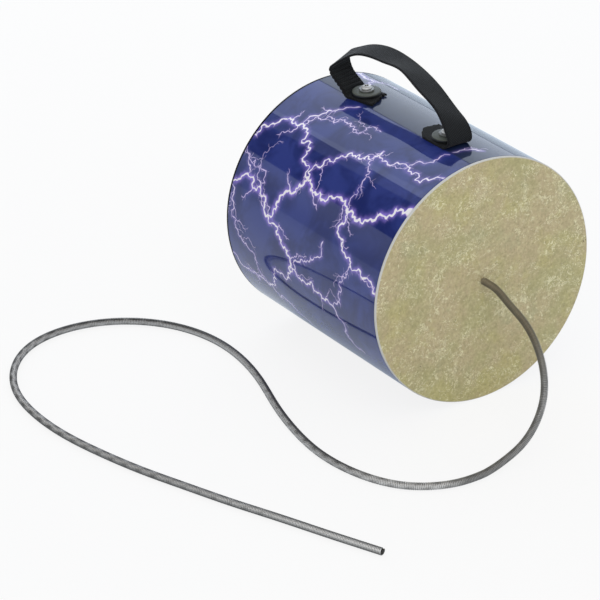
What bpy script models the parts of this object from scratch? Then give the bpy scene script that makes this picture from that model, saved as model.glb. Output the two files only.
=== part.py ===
"""Spring drum: a short fibre tube in a printed film, one glued-on drumhead,
a webbing handle held by two screws, and a long close-wound spring that hangs
from the middle of the head and lies on the floor.

The drum lies on its side. Y runs along the drum, with the head at the low end
and the open rim at the high end. Z is up, and the floor is at zero.
"""
import math

import bmesh
import bpy
import numpy as np
from mathutils import Matrix, Vector

for old in list(bpy.data.objects):
    bpy.data.objects.remove(old, do_unlink=True)

# Shell
DRUM_DIAMETER = 0.1524
DRUM_DEPTH = 0.1565
FILM_THICKNESS = 0.0004
TUBE_WALL = 0.0032
ROUND_SIDES = 96
SEAT_GAP = 0.0003

# Head and the ring that carries it
HEAD_THICKNESS = 0.0004
HEAD_EDGE_RADIUS = 0.0008
HEAD_DIMPLE = 0.0005
DIMPLE_RADIUS = 0.014
RING_FLANGE = 0.0008
RING_SKIRT_WALL = 0.0015
RING_SKIRT_DEPTH = 0.009

# Webbing handle
STRAP_WIDTH = 0.018
STRAP_THICKNESS = 0.0013
REAR_TAIL = 0.0097
REAR_SLANT = 0.0027
REAR_TURN = 13
FRONT_TAIL = 0.0205
FRONT_SLANT = 0.0012
ARCH_HEIGHT = 0.0294
FOOT_REACH = 0.0078
FOOT_FADE = 0.008
SCREW_SPACING = 0.0808
HANDLE_SHIFT = -0.0023
LEAN_AXIS_RISE = 0.002

# Strap fasteners
SHANK_DIAMETER = 0.0035
SHANK_TIP = 0.0012
SCREW_HEAD_DIAMETER = 0.0061
SCREW_HEAD_HEIGHT = 0.0016
TRIM_WASHER_DIAMETER = 0.0094
TRIM_WASHER_THICKNESS = 0.0009
CLAMP_WASHER_DIAMETER = 0.0175
CLAMP_WASHER_THICKNESS = 0.0022
CLAMP_WASHER_ROUNDING = 0.0008
BACK_WASHER_DIAMETER = 0.0120
BACK_WASHER_THICKNESS = 0.0010
NUT_WIDTH = 0.0060
NUT_HEIGHT = 0.0038

# Spring and its anchor in the head
WIRE_DIAMETER = 0.0010
SPRING_DIAMETER = 0.0046
ROOT_CURLS = 4
ROOT_PITCH = 0.0016
SPRING_CURLS = 72
CURL_POINTS = 8
PIN_DIAMETER = 0.0014
ANCHOR_WASHER_DIAMETER = 0.0120
ANCHOR_WASHER_THICKNESS = 0.0008
ANCHOR_HEAD_DIAMETER = 0.0055
ANCHOR_HEAD_HEIGHT = 0.0017

# The spring's way over the floor, in metres from the middle of the drum's
# contact line. The height is left to the function that lays the spring.
FALL_POINTS = [
    (0.0010, -0.1010, 0.0705), (0.0025, -0.1145, 0.0630), (0.0025, -0.1255, 0.0535),
    (0.0005, -0.1345, 0.0425), (-0.0045, -0.1420, 0.0305), (-0.0125, -0.1465, 0.0190),
    (-0.0250, -0.1500, 0.0095), (-0.0400, -0.1525, 0.0045),
]
FLOOR_POINTS = [
    (-0.0565, -0.1550), (-0.0765, -0.1540), (-0.0995, -0.1405), (-0.1140, -0.1125),
    (-0.1180, -0.0810), (-0.1145, -0.0495), (-0.1070, -0.0185), (-0.0975, 0.0120),
    (-0.0910, 0.0430), (-0.0910, 0.0750), (-0.1010, 0.1050), (-0.1220, 0.1285),
    (-0.1515, 0.1400), (-0.1825, 0.1355), (-0.2070, 0.1155), (-0.2215, 0.0875),
    (-0.2265, 0.0560), (-0.2250, 0.0240), (-0.2190, -0.0070), (-0.2105, -0.0380),
    (-0.2000, -0.0680), (-0.1890, -0.0980), (-0.1770, -0.1275), (-0.1655, -0.1570),
    (-0.1515, -0.1915),
]

# The handle's arch from the rear foot to the front foot: sideways and along
# the drum in half screw spacings, height in arch heights, and the strap's turn
# and tilt in degrees.
ARCH_POINTS = [
    (-0.06, 1.256, 0.094, 13, -2), (-0.10, 1.456, 0.322, 13, -4), (-0.11, 1.531, 0.504, 15, 0),
    (-0.10, 1.497, 0.635, 23, 5), (-0.04, 1.358, 0.781, 25, 3), (0.04, 1.141, 0.934, 19, 0),
    (0.12, 0.837, 1.0, 10, 0), (0.15, 0.453, 0.994, 0, -5), (0.12, 0.009, 0.992, -4, -16),
    (0.07, -0.492, 0.835, 1, -14), (0.05, -0.971, 0.570, 5, -17), (0.02, -1.250, 0.297, 2, -8),
    (0.01, -1.295, 0.137, 6, -7),
]

# Sizes that follow from the ones above
radius = DRUM_DIAMETER / 2
flat_radius = radius * math.cos(math.pi / ROUND_SIDES)
axis_height = flat_radius
crown = axis_height + flat_radius
head_face = -DRUM_DEPTH / 2
rim_face = DRUM_DEPTH / 2
ring_front = head_face + HEAD_THICKNESS + SEAT_GAP
ring_back = ring_front + RING_FLANGE
tube_front = ring_back + SEAT_GAP
film_inner = radius - FILM_THICKNESS
tube_outer = film_inner - SEAT_GAP
tube_bore = tube_outer - TUBE_WALL
spring_seat = head_face + HEAD_DIMPLE - SEAT_GAP
root_length = ROOT_CURLS * ROOT_PITCH + 2 * WIRE_DIAMETER
root_end = spring_seat - root_length
swing_axis = root_end - SEAT_GAP / 2
winding_radius = (SPRING_DIAMETER - WIRE_DIAMETER) / 2


def material(name, colour, roughness, metallic=0.0):
    """A plain finish in the piece's own colour."""
    finish = bpy.data.materials.new(name)
    finish.use_nodes = True
    shader = finish.node_tree.nodes["Principled BSDF"]
    shader.inputs["Base Color"].default_value = (*colour, 1.0)
    shader.inputs["Roughness"].default_value = roughness
    shader.inputs["Metallic"].default_value = metallic
    finish.diffuse_color = (*colour, 1.0)
    return finish


def piece(name, bm, finish, place=(0, 0, 0), turn=(0, 0, 0)):
    """Turns a finished bmesh into a named object."""
    mesh = bpy.data.meshes.new(name)
    bm.normal_update()
    bm.to_mesh(mesh)
    bm.free()
    mesh.shade_smooth()
    mesh.set_sharp_from_angle(angle=math.radians(35))
    mesh.materials.append(finish)
    result = bpy.data.objects.new(name, mesh)
    result.location = place
    result.rotation_euler = turn
    bpy.context.collection.objects.link(result)
    return result


def turned(outline, sides):
    """Spins an outline of (radius, height) points round local Z."""
    bm = bmesh.new()
    start = Matrix.Rotation(math.pi / sides, 3, "Z")
    corners = [bm.verts.new(start @ Vector((r, 0, h))) for r, h in outline]
    runs = list(zip(corners, corners[1:]))
    if outline[0][0] > 0 and outline[-1][0] > 0:
        runs.append((corners[-1], corners[0]))
    lines = [bm.edges.new(pair) for pair in runs]
    bmesh.ops.spin(bm, geom=corners + lines, cent=(0, 0, 0), axis=(0, 0, 1),
                   angle=2 * math.pi, steps=sides, use_merge=True)
    bmesh.ops.remove_doubles(bm, verts=bm.verts, dist=1e-6)
    bmesh.ops.recalc_face_normals(bm, faces=bm.faces)
    return bm


def on_axis(name, outline, sides, finish):
    """A turned piece on the drum's axis, its heights read along Y."""
    return piece(name, turned(outline, sides), finish,
                 (0, 0, axis_height), (-math.pi / 2, 0, 0))


def arc(centre, size, first, last, steps):
    """Points on a circle from one angle to another, in degrees."""
    angles = [math.radians(first + (last - first) * i / steps) for i in range(steps + 1)]
    return [(centre[0] + size * math.cos(a), centre[1] + size * math.sin(a)) for a in angles]


def cutter(name, size, depth, place):
    """A round cutter that stands on local Z."""
    bm = bmesh.new()
    bmesh.ops.create_cone(bm, cap_ends=True, segments=24, radius1=size, radius2=size, depth=depth)
    tool = piece(name, bm, brass, place)
    tool.hide_render = True
    tool.display_type = "WIRE"
    return tool


def cut(target, tool):
    """Takes a cutter out of a piece."""
    step = target.modifiers.new("cut_" + tool.name, "BOOLEAN")
    step.operation = "DIFFERENCE"
    step.object = tool


def spline(points, first_way, last_way, steps=24):
    """Reads a clamped cubic curve through points, evenly in each run."""
    points = np.array(points, dtype=float)
    runs = np.linalg.norm(np.diff(points, axis=0), axis=1)
    count = len(points)
    grid = np.zeros((count, count))
    known = np.zeros_like(points)
    grid[0, 0] = 1
    grid[-1, -1] = 1
    known[0] = first_way
    known[-1] = last_way
    for i in range(1, count - 1):
        before, after = runs[i - 1], runs[i]
        grid[i, i - 1] = after
        grid[i, i] = 2 * (before + after)
        grid[i, i + 1] = before
        known[i] = 3 * (after * (points[i] - points[i - 1]) / before
                        + before * (points[i + 1] - points[i]) / after)
    ways = np.linalg.solve(grid, known)
    read = [points[0]]
    for i, run in enumerate(runs):
        for t in np.arange(1, steps + 1) / steps:
            start, end = points[i], points[i + 1]
            read.append((2 * t**3 - 3 * t**2 + 1) * start + (t**3 - 2 * t**2 + t) * run * ways[i]
                        + (3 * t**2 - 2 * t**3) * end + (t**3 - t**2) * run * ways[i + 1])
    return np.array(read)


def distances(line):
    """How far along a line each of its points lies."""
    return np.concatenate([[0], np.cumsum(np.linalg.norm(np.diff(line, axis=0), axis=1))])


def wound_wire(line, curls, straight):
    """Winds a wire round a line, from the line's upper side back to it.

    The wire runs straight along the line for the length given at both ends.
    """
    along = distances(line)
    length = along[-1]
    marks = np.linspace(straight, length - straight, curls * CURL_POINTS + 1)
    marks = np.concatenate([[0], marks, [length]])
    centres = np.stack([np.interp(marks, along, line[:, k]) for k in range(3)], axis=1)
    ways = np.gradient(centres, marks, axis=0)
    ways /= np.linalg.norm(ways, axis=1)[:, None]
    side = Vector((0, 0, 1))
    wire = []
    for i, way in enumerate(ways):
        way = Vector(way)
        side = (side - way * side.dot(way)).normalized()
        share = min(max((marks[i] - straight) / (length - 2 * straight), 0), 1)
        angle = 2 * math.pi * curls * share
        offset = side * math.cos(angle) + way.cross(side) * math.sin(angle)
        wire.append(Vector(centres[i]) + offset * winding_radius)
    return wire


def least_gap(wire):
    """The smallest clear distance between one curl and the next."""
    points = np.array([tuple(p) for p in wire])
    fine = np.concatenate([points[:-1] + (points[1:] - points[:-1]) * t for t in (0, 0.25, 0.5, 0.75)])
    order = np.concatenate([np.arange(len(points) - 1) + t for t in (0, 0.25, 0.5, 0.75)])
    apart = np.linalg.norm(fine[:, None] - fine[None], axis=2)
    apart[np.abs(order[:, None] - order[None]) < CURL_POINTS * 0.6] = np.inf
    return apart.min() - WIRE_DIAMETER


def wire_piece(name, wire, origin, finish):
    """A round wire along points, as one curve with closed ends."""
    curve = bpy.data.curves.new(name, "CURVE")
    curve.dimensions = "3D"
    curve.bevel_depth = WIRE_DIAMETER / 2
    curve.bevel_resolution = 1
    curve.use_fill_caps = True
    curve.materials.append(finish)
    run = curve.splines.new("POLY")
    run.points.add(len(wire) - 1)
    for point, place in zip(run.points, wire):
        point.co = (*(place - Vector(origin)), 1)
    result = bpy.data.objects.new(name, curve)
    result.location = origin
    bpy.context.collection.objects.link(result)
    return result


film_print = material("film_print", (0.10, 0.10, 0.36), 0.12)
fibre_board = material("fibre_board", (0.36, 0.27, 0.18), 0.85)
head_film = material("head_film", (0.42, 0.38, 0.20), 0.55)
ring_board = material("ring_board", (0.62, 0.60, 0.62), 0.5)
webbing = material("webbing", (0.012, 0.013, 0.015), 0.9)
olive_black = material("olive_black", (0.035, 0.038, 0.034), 0.5)
bright_steel = material("bright_steel", (0.55, 0.56, 0.56), 0.3, 1.0)
zinc = material("zinc", (0.5, 0.5, 0.5), 0.4, 1.0)
spring_steel = material("spring_steel", (0.22, 0.22, 0.23), 0.35, 1.0)
brass = material("brass", (0.6, 0.45, 0.2), 0.35, 1.0)

# Fibre tube
tube = on_axis("shell_tube", [
    (tube_bore, tube_front), (tube_outer, tube_front),
    (tube_outer, rim_face), (tube_bore, rim_face),
], ROUND_SIDES, fibre_board)

# Printed film round the tube
film = on_axis("shell_film", [
    (film_inner, tube_front), (radius, tube_front),
    (radius, rim_face), (film_inner, rim_face),
], ROUND_SIDES, film_print)

# Ring between the head and the tube
skirt_outer = tube_bore - SEAT_GAP
skirt_bore = skirt_outer - RING_SKIRT_WALL
flange_outer = radius - HEAD_THICKNESS - SEAT_GAP
on_axis("head_ring", [
    (skirt_bore, ring_front), (flange_outer, ring_front), (flange_outer, ring_back),
    (skirt_outer, ring_back), (skirt_outer, ring_back + RING_SKIRT_DEPTH),
    (skirt_bore, ring_back + RING_SKIRT_DEPTH),
], ROUND_SIDES, ring_board)


def dimple(r):
    """How far the head sinks at a distance from its middle."""
    return HEAD_DIMPLE * (0.5 + 0.5 * math.cos(math.pi * min(r / DIMPLE_RADIUS, 1)))


# Drumhead, with its edge folded back over the ring
pin_hole = PIN_DIAMETER / 2 + SEAT_GAP
dimple_radii = [pin_hole, DIMPLE_RADIUS * 0.55, DIMPLE_RADIUS]
edge_centre = (radius - HEAD_EDGE_RADIUS, head_face + HEAD_EDGE_RADIUS)
head_outside = [(r, head_face + dimple(r)) for r in dimple_radii]
head_outside += arc(edge_centre, HEAD_EDGE_RADIUS, -90, 0, 2) + [(radius, ring_back)]
head_inside = [(r, head_face + HEAD_THICKNESS + dimple(r)) for r in dimple_radii]
head_inside += arc(edge_centre, HEAD_EDGE_RADIUS - HEAD_THICKNESS, -90, 0, 1)
head_inside += [(radius - HEAD_THICKNESS, ring_back)]
on_axis("drumhead", head_outside + head_inside[::-1], ROUND_SIDES, head_film)

# Anchor of the spring: a washer and a screw inside the head
washer_face = head_face + HEAD_THICKNESS + HEAD_DIMPLE + SEAT_GAP
washer_back = washer_face + ANCHOR_WASHER_THICKNESS
on_axis("anchor_washer", [
    (pin_hole, washer_face), (ANCHOR_WASHER_DIAMETER / 2, washer_face),
    (ANCHOR_WASHER_DIAMETER / 2, washer_back), (pin_hole, washer_back),
], 32, zinc)
anchor_seat = washer_back + SEAT_GAP
anchor_head = ANCHOR_HEAD_DIAMETER / 2
on_axis("anchor_screw", [
    (0, root_end + 2 * WIRE_DIAMETER), (PIN_DIAMETER / 2, root_end + 2 * WIRE_DIAMETER),
    (PIN_DIAMETER / 2, anchor_seat), (anchor_head, anchor_seat),
    (anchor_head, anchor_seat + ANCHOR_HEAD_HEIGHT * 0.55),
    (anchor_head * 0.72, anchor_seat + ANCHOR_HEAD_HEIGHT * 0.92),
    (0, anchor_seat + ANCHOR_HEAD_HEIGHT),
], 20, bright_steel)

# Webbing handle, laid between two rails along its edges
strap_seat = crown + SEAT_GAP + STRAP_THICKNESS / 2
half_spacing = SCREW_SPACING / 2
half_width = STRAP_WIDTH / 2
feet = {"rear": HANDLE_SHIFT + half_spacing, "front": HANDLE_SHIFT - half_spacing}


def across_strap(turn, tilt):
    """The way from one edge of the strap to the other."""
    turn, tilt = math.radians(turn), math.radians(tilt)
    return np.array([math.cos(turn) * math.cos(tilt), math.sin(turn) * math.cos(tilt), math.sin(tilt)])


rear_across = across_strap(REAR_TURN, 0)
front_across = across_strap(0, 0)
rear_way = np.array([-rear_across[1], rear_across[0], 0])
front_way = np.array([-front_across[1], front_across[0], 0])
rear_screw = np.array([0, feet["rear"], strap_seat])
front_screw = np.array([0, feet["front"], strap_seat])
knots = [(rear_screw + rear_way * FOOT_REACH, rear_across)]
for sideways, along, height, turn, tilt in ARCH_POINTS:
    knot = (half_spacing * sideways, HANDLE_SHIFT + half_spacing * along, crown + ARCH_HEIGHT * height)
    knots.append((np.array(knot), across_strap(turn, tilt)))
knots.append((front_screw - front_way * FOOT_REACH, front_across))
rails = []
for side in (-1, 1):
    reach = side * half_width
    arch = spline([knot + across * reach for knot, across in knots], rear_way, front_way, 4)
    rear_tail = [rear_screw + rear_across * reach - rear_way * d
                 for d in (REAR_TAIL - side * REAR_SLANT, REAR_TAIL / 2, 0)]
    front_tail = [front_screw + front_across * reach + front_way * d
                  for d in (0, FRONT_TAIL / 2, FRONT_TAIL + side * FRONT_SLANT)]
    rails.append(np.concatenate([rear_tail, arch, front_tail]))
stations = (rails[0] + rails[1]) / 2
strap_way = distances(stations)
fade = np.minimum(strap_way - strap_way[3], strap_way[-4] - strap_way) / FOOT_FADE
bend = 1 - np.clip(fade, 0, 1)
bm = bmesh.new()
rows = []
for near, far, share_bent in zip(*rails, bend):
    row = []
    for share in (0, 0.25, 0.5, 0.75, 1):
        place = Vector(near + (far - near) * share)
        place.z -= share_bent * (radius - math.sqrt(radius**2 - place.x**2))
        row.append(bm.verts.new(place))
    rows.append(row)
for row, following in zip(rows, rows[1:]):
    for k in range(4):
        bm.faces.new((row[k], row[k + 1], following[k + 1], following[k]))
handle_origin = Vector((0, HANDLE_SHIFT, crown + LEAN_AXIS_RISE))
bmesh.ops.translate(bm, verts=bm.verts, vec=-handle_origin)
strap = piece("strap_handle", bm, webbing, handle_origin)
thicken = strap.modifiers.new("webbing_thickness", "SOLIDIFY")
thicken.thickness = STRAP_THICKNESS
thicken.offset = 0

# Holes for the two screws, through the film, the tube and the strap's feet
hole_radius = SHANK_DIAMETER / 2 + SEAT_GAP
for end, y in feet.items():
    bore = cutter("screw_hole_" + end, hole_radius, 4 * TUBE_WALL, (0, y, crown))
    for target in (tube, film, strap):
        cut(target, bore)


def washer(name, size, thickness, rounding, place, finish):
    """A flat washer on local Z with rounded outer edges."""
    outer = size / 2
    steps = 2 if rounding > thickness * 0.3 else 1
    outline = [(hole_radius, 0)]
    outline += arc((outer - rounding, rounding), rounding, -90, 0, steps)
    outline += arc((outer - rounding, thickness - rounding), rounding, 0, 90, steps)
    outline += [(hole_radius, thickness)]
    return piece(name, turned(outline, 28), finish, place)


clamp_seat = crown + SEAT_GAP + STRAP_THICKNESS + SEAT_GAP
trim_seat = clamp_seat + CLAMP_WASHER_THICKNESS + SEAT_GAP
screw_seat = trim_seat + TRIM_WASHER_THICKNESS + SEAT_GAP
bore_top = axis_height + math.sqrt(tube_bore**2 - (BACK_WASHER_DIAMETER / 2)**2)
back_washer_seat = bore_top - SEAT_GAP - BACK_WASHER_THICKNESS
nut_seat = back_washer_seat - SEAT_GAP - NUT_HEIGHT
shank_end = nut_seat - SHANK_TIP
head_reach = SCREW_HEAD_DIAMETER / 2
for end, y in feet.items():
    washer("clamp_washer_" + end, CLAMP_WASHER_DIAMETER, CLAMP_WASHER_THICKNESS,
           CLAMP_WASHER_ROUNDING, (0, y, clamp_seat), olive_black)
    washer("trim_washer_" + end, TRIM_WASHER_DIAMETER, TRIM_WASHER_THICKNESS,
           TRIM_WASHER_THICKNESS * 0.25, (0, y, trim_seat), zinc)
    washer("back_washer_" + end, BACK_WASHER_DIAMETER, BACK_WASHER_THICKNESS,
           BACK_WASHER_THICKNESS * 0.2, (0, y, back_washer_seat), zinc)
    shank = [
        (0, shank_end - screw_seat), (SHANK_DIAMETER / 2, shank_end - screw_seat),
        (SHANK_DIAMETER / 2, 0), (head_reach, 0), (head_reach, SCREW_HEAD_HEIGHT * 0.5),
        (head_reach * 0.86, SCREW_HEAD_HEIGHT * 0.82), (head_reach * 0.5, SCREW_HEAD_HEIGHT),
        (0, SCREW_HEAD_HEIGHT),
    ]
    piece("strap_screw_" + end, turned(shank, 24), bright_steel, (0, y, screw_seat))
    bm = bmesh.new()
    nut_corner = NUT_WIDTH / 2 / math.cos(math.pi / 6)
    bmesh.ops.create_cone(bm, cap_ends=True, segments=6, radius1=nut_corner,
                          radius2=nut_corner, depth=NUT_HEIGHT)
    nut_middle = nut_seat + NUT_HEIGHT / 2
    nut = piece("strap_nut_" + end, bm, bright_steel, (0, y, nut_middle))
    cut(nut, cutter("nut_bore_" + end, hole_radius, 2 * NUT_HEIGHT, (0, y, nut_middle)))

# Spring: a short root over the anchor's pin, and the long free spring
root_line = np.array([(0, spring_seat - d, axis_height) for d in np.linspace(0, root_length, 60)])
root_wire = wound_wire(root_line, ROOT_CURLS, WIRE_DIAMETER)
wire_piece("spring_root", root_wire, (0, spring_seat, axis_height), spring_steel)

lay_height = SPRING_DIAMETER / 2
free_start = (0, root_end - SEAT_GAP, axis_height)
route_knots = [free_start] + FALL_POINTS + [(x, y, lay_height) for x, y in FLOOR_POINTS]
end_way = np.array(route_knots[-1]) - np.array(route_knots[-2])
route = spline(route_knots, (0, -1, 0), end_way / np.linalg.norm(end_way))
route[:, 2] = np.maximum(route[:, 2], lay_height)
free_wire = wound_wire(route, SPRING_CURLS, WIRE_DIAMETER)
wire_piece("spring", free_wire, (0, swing_axis, axis_height), spring_steel)

print("spring length %.4f m" % (root_length + distances(route)[-1]))
print("strap length %.4f m" % distances(stations)[-1])
print("least gap in the root %.2f mm" % (least_gap(root_wire) * 1000))
print("least gap in the free spring %.2f mm" % (least_gap(free_wire) * 1000))
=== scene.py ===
# %% [markdown]
# # A spring drum, piece by piece
# The object is a short drum that lies on its side. A tube of wound board wears
# a glossy printed film, one end carries a parchment-like head, a webbing handle
# is screwed to the top, and a long close-wound spring hangs from the head.
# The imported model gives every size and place. This lesson loads it first and
# then dresses it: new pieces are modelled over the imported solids, and each
# gets a finish made of nodes.

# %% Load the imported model
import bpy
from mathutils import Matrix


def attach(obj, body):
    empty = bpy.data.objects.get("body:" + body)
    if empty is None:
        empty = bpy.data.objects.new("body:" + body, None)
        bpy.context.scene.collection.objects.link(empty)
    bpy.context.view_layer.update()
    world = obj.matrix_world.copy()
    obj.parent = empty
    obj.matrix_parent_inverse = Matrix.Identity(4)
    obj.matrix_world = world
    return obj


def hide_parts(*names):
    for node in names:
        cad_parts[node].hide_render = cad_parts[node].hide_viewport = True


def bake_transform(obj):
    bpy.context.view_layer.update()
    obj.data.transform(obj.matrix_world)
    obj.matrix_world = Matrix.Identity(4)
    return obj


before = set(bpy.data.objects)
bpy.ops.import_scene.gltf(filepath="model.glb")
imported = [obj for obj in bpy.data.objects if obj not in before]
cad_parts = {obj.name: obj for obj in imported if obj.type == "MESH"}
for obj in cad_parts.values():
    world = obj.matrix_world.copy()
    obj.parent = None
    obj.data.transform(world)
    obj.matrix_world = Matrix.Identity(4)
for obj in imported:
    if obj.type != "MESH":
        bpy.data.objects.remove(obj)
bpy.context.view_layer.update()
print("solids:", len(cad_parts))

# %% The tools of the lesson
import math
import random

import bmesh
import bpy
import numpy as np
from numpy.linalg import norm
from mathutils import Matrix, Vector
from mathutils.geometry import delaunay_2d_cdt
from mathutils.kdtree import KDTree

# %% [markdown]
# ## The drum's main sizes
# The lesson repeats only the sizes that it needs, in metres. Y runs along the
# drum, with the head at the low end. Z is up. The drum rests on the floor, at
# zero, so its axis is one radius above it.

# %% Main sizes
RADIUS = 0.07616
AXIS_HEIGHT = 0.07616
CROWN = AXIS_HEIGHT + RADIUS
HEAD_FACE = -0.07825
FILM_START = -0.07645
RIM_FACE = 0.07825
FOOT_PLACES = {"rear": 0.0381, "front": -0.0427}

# %% [markdown]
# ## The camera
# It stands in front of the head, a little to the left and above, so that it
# sees both the head and the print. A long lens keeps the drum's sides almost
# parallel. Its small turn about the line of sight is added last.

# %% Camera
CAMERA_PLACE = Vector((-1.0356, -1.4730, 0.9367))
CAMERA_AIM = Vector((-0.0912, -0.0232, 0.0689))
CAMERA_ROLL = math.radians(-1.56)
away = (CAMERA_PLACE - CAMERA_AIM).normalized()
aimed = away.to_track_quat("Z", "Y").to_matrix() @ Matrix.Rotation(CAMERA_ROLL, 3, "Z")
bpy.ops.object.camera_add(location=CAMERA_PLACE, rotation=aimed.to_euler())
camera = bpy.context.object
camera.name = "camera"
camera.data.sensor_width = 36.0
camera.data.lens = 200.68
camera.data.clip_start = 0.01
bpy.context.scene.camera = camera
print("camera distance %.2f m" % (CAMERA_PLACE - CAMERA_AIM).length)

# %% [markdown]
# ## Helpers for modelling
# Operators act on what is selected, so a piece is first made the only selected
# one. A turned piece, such as a washer, starts as its outline, which the spin
# operator sweeps once round. After the doubles are merged, the normals are
# made to point outwards. The points of a piece can carry values, which its
# finish reads later.

# %% Modelling helpers
def put(thing, **settings):
    """Gives a thing its settings by name."""
    for name, value in settings.items():
        setattr(thing, name, value)


def choose(obj):
    """Makes one object the only selected one."""
    bpy.ops.object.select_all(action="DESELECT")
    obj.select_set(True)
    bpy.context.view_layer.objects.active = obj


def drawn(name, points, edges, faces=()):
    """A new object from points, edges and faces."""
    mesh = bpy.data.meshes.new(name)
    mesh.from_pydata([tuple(p) for p in points], edges, faces)
    obj = bpy.data.objects.new(name, mesh)
    bpy.context.collection.objects.link(obj)
    choose(obj)
    return obj


def turned(name, outline, sides, place, along_y=False):
    """Spins an outline of (radius, height) points once round its axis."""
    points = [(r, 0, h) for r, h in outline]
    edges = [(i, i + 1) for i in range(len(points) - 1)]
    if outline[0][0] > 0:
        edges.append((len(points) - 1, 0))
    obj = drawn(name, points, edges)
    bpy.ops.object.mode_set(mode="EDIT")
    bpy.ops.mesh.select_all(action="SELECT")
    bpy.ops.mesh.spin(steps=sides, angle=2 * math.pi, center=(0, 0, 0), axis=(0, 0, 1))
    bpy.ops.mesh.select_all(action="SELECT")
    bpy.ops.mesh.remove_doubles(threshold=1e-6)
    bpy.ops.mesh.normals_make_consistent(inside=False)
    bpy.ops.object.mode_set(mode="OBJECT")
    if along_y:
        obj.rotation_euler = (-math.pi / 2, 0, 0)
    obj.location = place
    bpy.ops.object.transform_apply(location=True, rotation=True, scale=True)
    bpy.ops.object.shade_smooth_by_angle(angle=math.radians(35))
    return obj


def modify(obj, kind, **settings):
    """Applies one modifier to a piece."""
    choose(obj)
    put(obj.modifiers.new(kind, kind), **settings)
    bpy.ops.object.modifier_apply(modifier=kind)


def cut_out(obj, cutter):
    """Takes the cutter's shape out of a piece, then deletes the cutter."""
    modify(obj, "BOOLEAN", object=cutter)
    bpy.data.objects.remove(cutter)


def carry(obj, **values):
    """Gives each point of a piece one value under each name."""
    for name, numbers in values.items():
        numbers = np.asarray(numbers, dtype=np.float32)
        obj.data.attributes.new(name, "FLOAT", "POINT").data.foreach_set("value", numbers)


# %% [markdown]
# ## Helpers for finishes
# A finish is a small tree of nodes round one shader. One helper fills a node's
# sockets with numbers, or with links from earlier nodes. The others add what is
# needed over and over: a mix of two colours, a ramp that turns a value into a
# mask, sums, noise and small bumps.

# %% Finish helpers
def fill(tree, node, **sockets):
    """Fills a node. A socket is named with _ for a space, or n0, n1 by number."""
    for name, value in sockets.items():
        number = name[0] == "n" and name[1:].isdigit()
        socket = node.inputs[int(name[1:]) if number else name.replace("_", " ")]
        if isinstance(value, bpy.types.NodeSocket):
            tree.links.new(value, socket)
        else:
            socket.default_value = value
    return node


def add(tree, kind, settings=None, **sockets):
    """Adds a node with its settings and fills its sockets."""
    new = tree.nodes.new("ShaderNode" + kind)
    put(new, **(settings or {}))
    return fill(tree, new, **sockets)


def mix(tree, factor, first, second, mode="MIX"):
    """The output of a colour mix."""
    first = (*first, 1) if isinstance(first, tuple) else first
    second = (*second, 1) if isinstance(second, tuple) else second
    return add(tree, "Mix", {"data_type": "RGBA", "blend_type": mode},
               n0=factor, n6=first, n7=second).outputs[2]


def ramp(tree, value, low, high, to_low=0.0, to_high=1.0):
    """A value read between two limits, softly at both ends."""
    return add(tree, "MapRange", {"interpolation_type": "SMOOTHSTEP"}, Value=value,
               From_Min=low, From_Max=high, To_Min=to_low, To_Max=to_high).outputs[0]


def maths(tree, operation, *values):
    """The output of one sum."""
    return add(tree, "Math", {"operation": operation},
               **{"n%d" % i: v for i, v in enumerate(values)}).outputs[0]


def times(tree, first, second):
    """The product of two values."""
    return maths(tree, "MULTIPLY", first, second)


def parts_of(tree, vector):
    """The X, Y and Z of a vector."""
    return add(tree, "SeparateXYZ", Vector=vector).outputs


def carried(tree, name):
    """A value that the points of the piece carry."""
    return add(tree, "Attribute", {"attribute_name": name}).outputs["Fac"]


def noise(tree, where, scale, detail, roughness=0.5, distortion=0.0):
    """The value of a noise texture."""
    return add(tree, "TexNoise", Vector=where, Scale=scale, Detail=detail,
               Roughness=roughness, Distortion=distortion).outputs[0]


def bumps(tree, height, strength, distance):
    """The normal of a surface with small bumps."""
    return add(tree, "Bump", Height=height, Strength=strength, Distance=distance).outputs[0]


def finish(name):
    """An empty finish: its tree, its shader and its object coordinates."""
    material = bpy.data.materials.new(name)
    material.use_nodes = True
    tree = material.node_tree
    shader = tree.nodes["Principled BSDF"]
    return material, tree, shader, add(tree, "TexCoord").outputs["Object"]


def wear(obj, material):
    """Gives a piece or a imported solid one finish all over."""
    obj.data.materials.clear()
    obj.data.materials.append(material)


# %% [markdown]
# ## The spring's way
# The spring leaves the middle of the head, bends down under its own weight and
# lies on the floor in one long S. A clamped cubic curve goes through chosen
# points, in millimetres: the first few in the air, the rest on the floor.

# %% The spring's line
SPRING_EXIT = (0.0, -0.07805, AXIS_HEIGHT)
SPRING_DIAMETER = 0.0046
WIRE_DIAMETER = 0.00097
FALL = [
    (1, -101, 70.5), (2.5, -114.5, 63), (2.5, -125.5, 53.5), (0.5, -134.5, 42.5),
    (-4.5, -142, 30.5), (-12.5, -146.5, 19), (-25, -150, 9.5), (-40, -152.5, 4.5),
]
FLOOR_RUN = [
    (-56.5, -155), (-76.5, -154), (-99.5, -140.5), (-114, -112.5), (-118, -81),
    (-114.5, -49.5), (-107, -18.5), (-97.5, 12), (-91, 43), (-91, 75), (-101, 105),
    (-122, 128.5), (-151.5, 140), (-182.5, 135.5), (-207, 115.5), (-221.5, 87.5),
    (-226.5, 56), (-225, 24), (-219, -7), (-210.5, -38), (-200, -68), (-189, -98),
    (-177, -127.5), (-165.5, -157), (-151.5, -191.5),
]


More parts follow.
